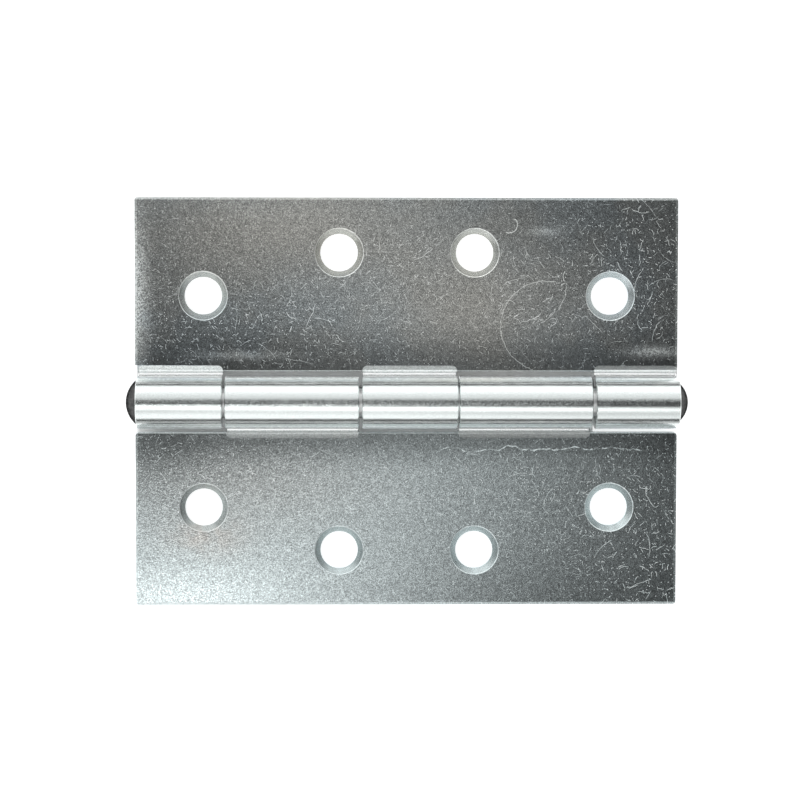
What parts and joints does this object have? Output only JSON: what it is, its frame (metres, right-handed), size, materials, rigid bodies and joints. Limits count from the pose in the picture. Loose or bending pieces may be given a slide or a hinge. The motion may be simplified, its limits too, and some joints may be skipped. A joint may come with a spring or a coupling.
{
  "type": "butt hinge",
  "caption": "Pressed-steel butt hinge lying open: two countersunk leaves whose curled knuckles interleave round a pin with domed heads.",
  "frame": {"origin": "on the pin's axis, midway between the ends of the leaves", "axes": "+X along the pin, +Y across the three-knuckle leaf, +Z out of the countersunk faces; the hinge lies open and flat"},
  "size_m": [0.1034, 0.0752, 0.0098],
  "materials": {
    "zinc_plate": "dull zinc plating with a fine spangle and handling marks",
    "pin_steel": "darker satin steel"
  },
  "bodies": {
    "three_knuckle_leaf": {"leaf_three_knuckle": "zinc_plate", "pin": "pin_steel"},
    "two_knuckle_leaf": {"leaf_two_knuckle": "zinc_plate"}
  },
  "joints": [
    {"name": "leaf_swing", "type": "hinge", "parent": "three_knuckle_leaf", "child": "two_knuckle_leaf", "pos_m": [0, 0, 0], "axis": [-1, 0, 0], "range_deg": [-98, 182]}
  ]
}
